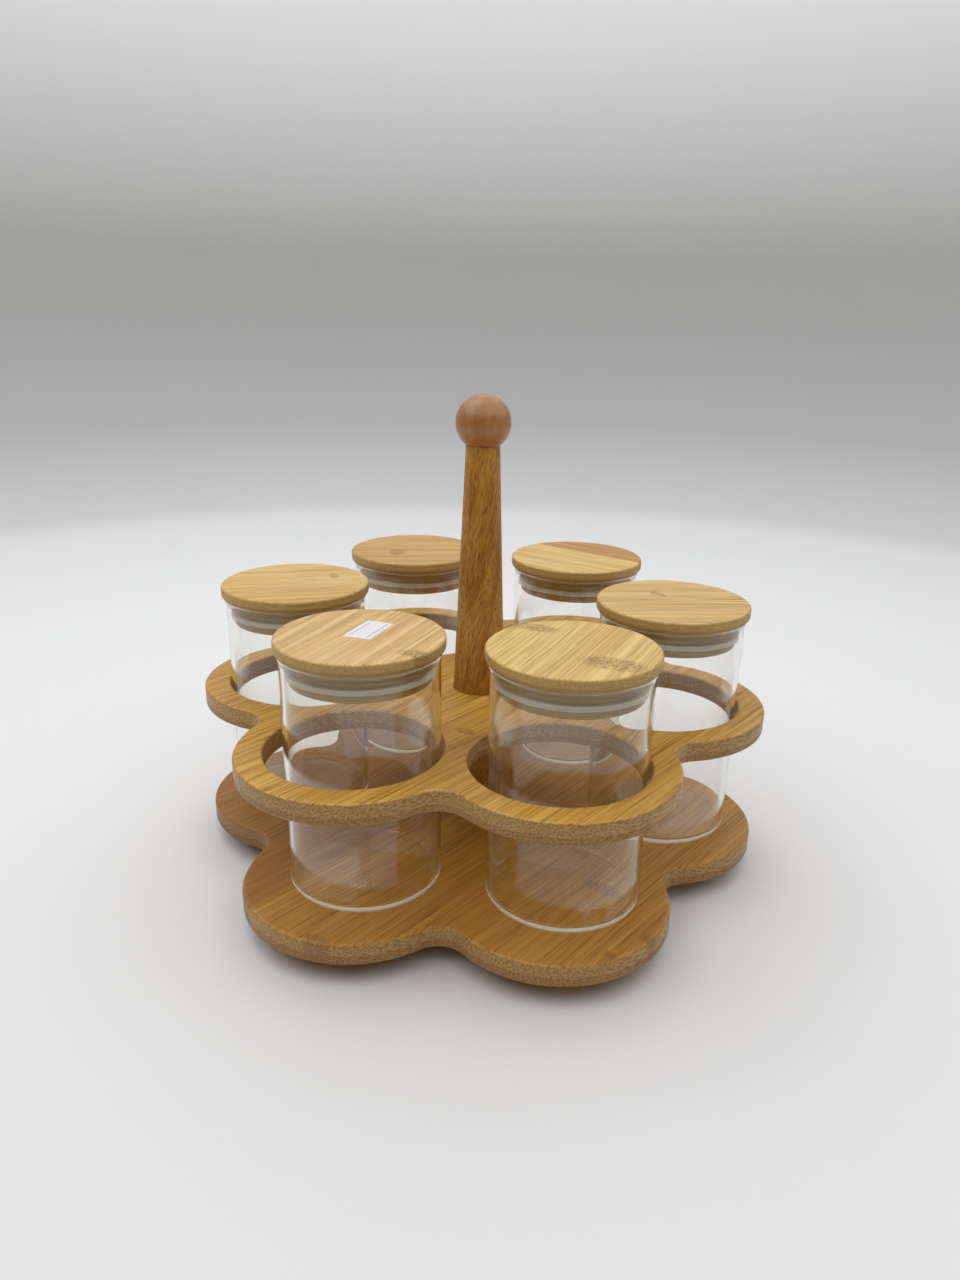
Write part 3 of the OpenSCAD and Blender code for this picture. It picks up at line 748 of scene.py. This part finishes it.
class RACK_OT_base_board(bpy.types.Operator):
    """Make the lobed base board and its bamboo"""

    bl_idname = "rack.base_board"
    bl_label = "Base board"

    def execute(self, context):
        scene = context.scene
        piece = make_base_board(scene.rack_boards, scene.rack_post)
        look = bamboo("Base board bamboo", board_tones(scene.rack_colours), 57, seed=3,
                      layer=(BASE_LOW.z / MM + 4.2, "#e6ddd2", 1.2), tint="#e4d7c6", second=(10.5, "#e2d6cc"),
                      marks=[(81.5, -100.7, 3, 5), (64, -70, 4, 9), (66, -112, 2, 3), (-47, -121, 4, 7)])
        stands_for(piece, "base_plate", look)
        return {"FINISHED"}


class RACK_OT_ring_board(bpy.types.Operator):
    """Make the ring board with its six holes"""

    bl_idname = "rack.ring_board"
    bl_label = "Ring board"

    def execute(self, context):
        scene = context.scene
        piece = make_ring_board(scene.rack_boards, scene.rack_post)
        look = bamboo("Ring board bamboo", board_tones(scene.rack_colours), 57, seed=7,
                      layer=(RING_LOW.z / MM + 3.6, "#e6ddd2", 1.2),
                      marks=[(1, -52, 3, 5), (-13, -120, 2, 5)])
        stands_for(piece, "ring_plate", look)
        return {"FINISHED"}


class RACK_OT_post(bpy.types.Operator):
    """Make the tapered post"""

    bl_idname = "rack.post"
    bl_label = "Post"

    def execute(self, context):
        scene = context.scene
        colours = scene.rack_colours
        look = hardwood("Post rubberwood", colours.post_light, colours.post_dark, colours.pore, lean=13,
                        pores=0.62, gloss=0.42, seed=1)
        stands_for(make_post(scene.rack_post), "centre_post", look)
        return {"FINISHED"}


class RACK_OT_ball(bpy.types.Operator):
    """Make the ball on the post, and finish the pin that holds it"""

    bl_idname = "rack.ball"
    bl_label = "Ball"

    def execute(self, context):
        scene = context.scene
        colours = scene.rack_colours
        look = hardwood("Ball rubberwood", colours.ball_light, colours.ball_dark, colours.pore, lean=3,
                        pores=0.15, gloss=0.27, seed=2, shine=0.6)
        stands_for(make_ball(scene.rack_post), "handle_ball", look)
        pin = hardwood("Pin beech", colours.lid_warm, colours.lid_fibre, colours.pore, lean=0, pores=0.2,
                       gloss=0.6, seed=3)
        frame["nodes"]["ball_dowel"].material_slots[0].material = pin
        return {"FINISHED"}


class RACK_OT_jars(bpy.types.Operator):
    """Make the six glass jars"""

    bl_idname = "rack.jars"
    bl_label = "Jars"

    def execute(self, context):
        scene = context.scene
        look = borosilicate_glass(scene.rack_colours.glass)
        # The foot, the hollow underside and the lip are glass with painted glints, pale where seen at a slant
        foot = glass_with_painted_glint("Glass with painted glint", scene.rack_colours.glass, "#fffdf4")
        under = glass_with_painted_glint("Glass over wood with painted glint", scene.rack_colours.glass, "#f0e6d0")
        rim = glass_with_painted_glint("Lip with painted highlight", scene.rack_colours.glass, "#fffdf4", glint_from=-0.7)
        sizes = scene.rack_jars
        for n, jar in enumerate(make_jars(sizes), 1):
            stands_for(jar, f"glass_jar_{n}", look)
            jar.data.materials.append(foot)
            jar.data.materials.append(under)
            jar.data.materials.append(rim)
            middle = middle_of(f"glass_jar_{n}")
            # The heel and hollow underside take the painted glint, and the lip's outer band a painted highlight
            for face in jar.data.polygons:
                out = (face.center - middle).to_2d().length
                low = face.center.z < JAR_LOW.z + sizes.heel and face.normal.z < -0.1
                if low:
                    face.material_index = 1 if out > sizes.punt_radius else 2
                elif face.center.z > JAR_HIGH.z - sizes.lip_glint_height and out > sizes.radius:
                    face.material_index = 3
            # Lamps and soft light reach what is in and behind a jar, as they do through thin clear glass
            jar.visible_shadow = False
            jar.visible_diffuse = False
        return {"FINISHED"}


class RACK_OT_lids(bpy.types.Operator):
    """Make the six turned lids, each with its own grain"""

    bl_idname = "rack.lids"
    bl_label = "Lids"

    def execute(self, context):
        scene = context.scene
        colours = scene.rack_colours
        tones = (colours.lid_pale, colours.lid_warm, colours.lid_fibre, colours.lid_rim_with_shade, colours.node_mark)
        for n, (piece, lid) in enumerate(zip(make_lids(scene.rack_jars), LIDS), 1):
            # Below 2 mm above the jars' mouths a lid's edge and plug are greyer, with half the fibres: painted
            # shade on the plug and the disc's lower edge
            look = bamboo(f"Lid bamboo {n}", tones, lid["grain"], at=middle_of(f"lid_{n}"), seed=11 + n,
                          layer=(JAR_HIGH.z / MM + 2.0, "#dfdacc", 0.5), marks=lid["marks"],
                          second=lid.get("second"), tint=lid["tint"], gloss=0.5, lines=0.72, ends=0.5)
            stands_for(piece, f"lid_{n}", look)
        return {"FINISHED"}


class RACK_OT_seals(bpy.types.Operator):
    """Make the six seals in the lids' grooves"""

    bl_idname = "rack.seals"
    bl_label = "Seals"

    def execute(self, context):
        scene = context.scene
        look = silicone_rubber(scene.rack_colours.silicone)
        for n, seal in enumerate(make_seals(scene.rack_jars), 1):
            stands_for(seal, f"seal_{n}", look)
        return {"FINISHED"}


class RACK_OT_label(bpy.types.Operator):
    """Make the blank price label"""

    bl_idname = "rack.label"
    bl_label = "Label"

    def execute(self, context):
        scene = context.scene
        colours = scene.rack_colours
        look = label_paper(colours.paper, colours.ruling, scene.rack_jars)
        stands_for(make_label(scene.rack_jars), "price_label", look)
        return {"FINISHED"}


class RACK_OT_turntable(bpy.types.Operator):
    """Finish the turntable, its balls, the screws and the rubber pads"""

    bl_idname = "rack.turntable"
    bl_label = "Turntable"

    def execute(self, context):
        colours = context.scene.rack_colours
        looks = {
            "turntable_aluminium": machined_metal("Turned aluminium", colours.aluminium, 0.32, 0.4),
            "bearing_steel": machined_metal("Bearing steel", colours.steel, 0.1, 0.8),
            "cage_nylon": mottled("Moulded nylon", colours.nylon, 0.5, 2.0, 0.02),
            "screw_steel": mottled("Zinc plated steel", colours.zinc, 0.34, 1.5, 0.01, metallic=1.0),
            "rubber_feet": mottled("Moulded rubber", colours.rubber, 0.75, 0.6, 0.05),
        }
        for node, slot in SLOT_OF.items():
            if slot in looks:
                frame["nodes"][node].material_slots[0].material = looks[slot]
        return {"FINISHED"}


# The camera's place and aim, found from the photograph's ellipses. Lengths in metres
CAMERA_AT = Vector((0.0498, -0.4056, 0.2467))
CAMERA_TURN = math.radians(6.97)
CAMERA_TILT = math.radians(90 - 19.33)
CAMERA_ROLL = math.radians(1.03)
CAMERA_LENS = 25.74

# Lamps: name, place, aim, size and power
LAMPS = [
    ("overhead_softbox", (-0.3, 0.1, 1.1), (0.0, 0.0, 0.05), 0.8, 1.1),
    ("left_softbox", (-0.7, -0.5, 0.8), (0.0, 0.0, 0.05), 0.7, 1.1),
]
WORLD_STRENGTH = 1.32


class RACK_OT_stage(bpy.types.Operator):
    """Make the pale floor and backdrop, the soft lamps and the camera"""

    bl_idname = "rack.stage"
    bl_label = "Stage"

    def execute(self, context):
        scene = context.scene
        colours = scene.rack_colours
        backdrop = turned_pieces("backdrop", [(0, 0, 0), (0.95, 0, 0.25), (0.95, WALL_TOP, 0)], [AXIS], 96)[0]
        backdrop.data.materials.append(matt_paint(colours.floor, colours.front_wall))
        for name, at, aim, size, power in LAMPS:
            lamp = bpy.data.lights.new(name, "AREA")
            lamp.shape = "DISK"
            lamp.size = size
            lamp.energy = power
            holder = bpy.data.objects.new(name, lamp)
            holder.location = at
            holder.rotation_euler = (Vector(aim) - Vector(at)).to_track_quat("-Z", "Y").to_euler()
            scene.collection.objects.link(holder)
        world = bpy.data.worlds.new("Soft room")
        world.use_nodes = True
        world.node_tree.nodes.clear()
        sky = add(world.node_tree, "Background", {"Color": linear("#f4f5f6"), "Strength": WORLD_STRENGTH})
        add(world.node_tree, "OutputWorld", {"Surface": sky})
        scene.world = world
        scene.view_settings.view_transform = "Standard"
        lens = bpy.data.cameras.new("camera")
        lens.lens = CAMERA_LENS
        lens.sensor_width = 36.0
        lens.sensor_fit = "AUTO"
        lens.clip_start = 0.01
        camera = bpy.data.objects.new("camera", lens)
        turn = Matrix.Rotation(CAMERA_TURN, 4, "Z") @ Matrix.Rotation(CAMERA_TILT, 4, "X")
        camera.matrix_world = Matrix.Translation(CAMERA_AT) @ turn @ Matrix.Rotation(CAMERA_ROLL, 4, "Z")
        scene.collection.objects.link(camera)
        scene.camera = camera
        return {"FINISHED"}


class RACK_PT_panel(bpy.types.Panel):
    """Lists the steps that build the rack"""

    bl_idname = "RACK_PT_panel"
    bl_label = "Spice rack"
    bl_space_type = "VIEW_3D"
    bl_region_type = "UI"
    bl_category = "Spice rack"

    def draw(self, context):
        for step in STEPS:
            self.layout.operator(step.bl_idname)
        for group in ("rack_boards", "rack_post", "rack_jars", "rack_colours"):
            settings = getattr(context.scene, group)
            box = self.layout.box()
            for name in settings.__annotations__:
                box.prop(settings, name)


GROUPS = {"rack_boards": RackBoardSizes, "rack_post": RackPostSizes, "rack_jars": RackJarSizes,
          "rack_colours": RackColours}
STEPS = (RACK_OT_base_board, RACK_OT_ring_board, RACK_OT_post, RACK_OT_ball, RACK_OT_jars, RACK_OT_lids,
         RACK_OT_seals, RACK_OT_label, RACK_OT_turntable, RACK_OT_stage)


def register():
    for name, group in GROUPS.items():
        bpy.utils.register_class(group)
        setattr(bpy.types.Scene, name, PointerProperty(type=group))
    for made in STEPS + (RACK_PT_panel,):
        bpy.utils.register_class(made)


def unregister():
    for made in (RACK_PT_panel,) + STEPS[::-1]:
        bpy.utils.unregister_class(made)
    for name, group in GROUPS.items():
        delattr(bpy.types.Scene, name)
        bpy.utils.unregister_class(group)


def main():
    register()
    bpy.ops.rack.base_board()
    bpy.ops.rack.ring_board()
    bpy.ops.rack.post()
    bpy.ops.rack.ball()
    bpy.ops.rack.jars()
    bpy.ops.rack.lids()
    bpy.ops.rack.seals()
    bpy.ops.rack.label()
    bpy.ops.rack.turntable()
    bpy.ops.rack.stage()


if __name__ == "__main__":
    main()
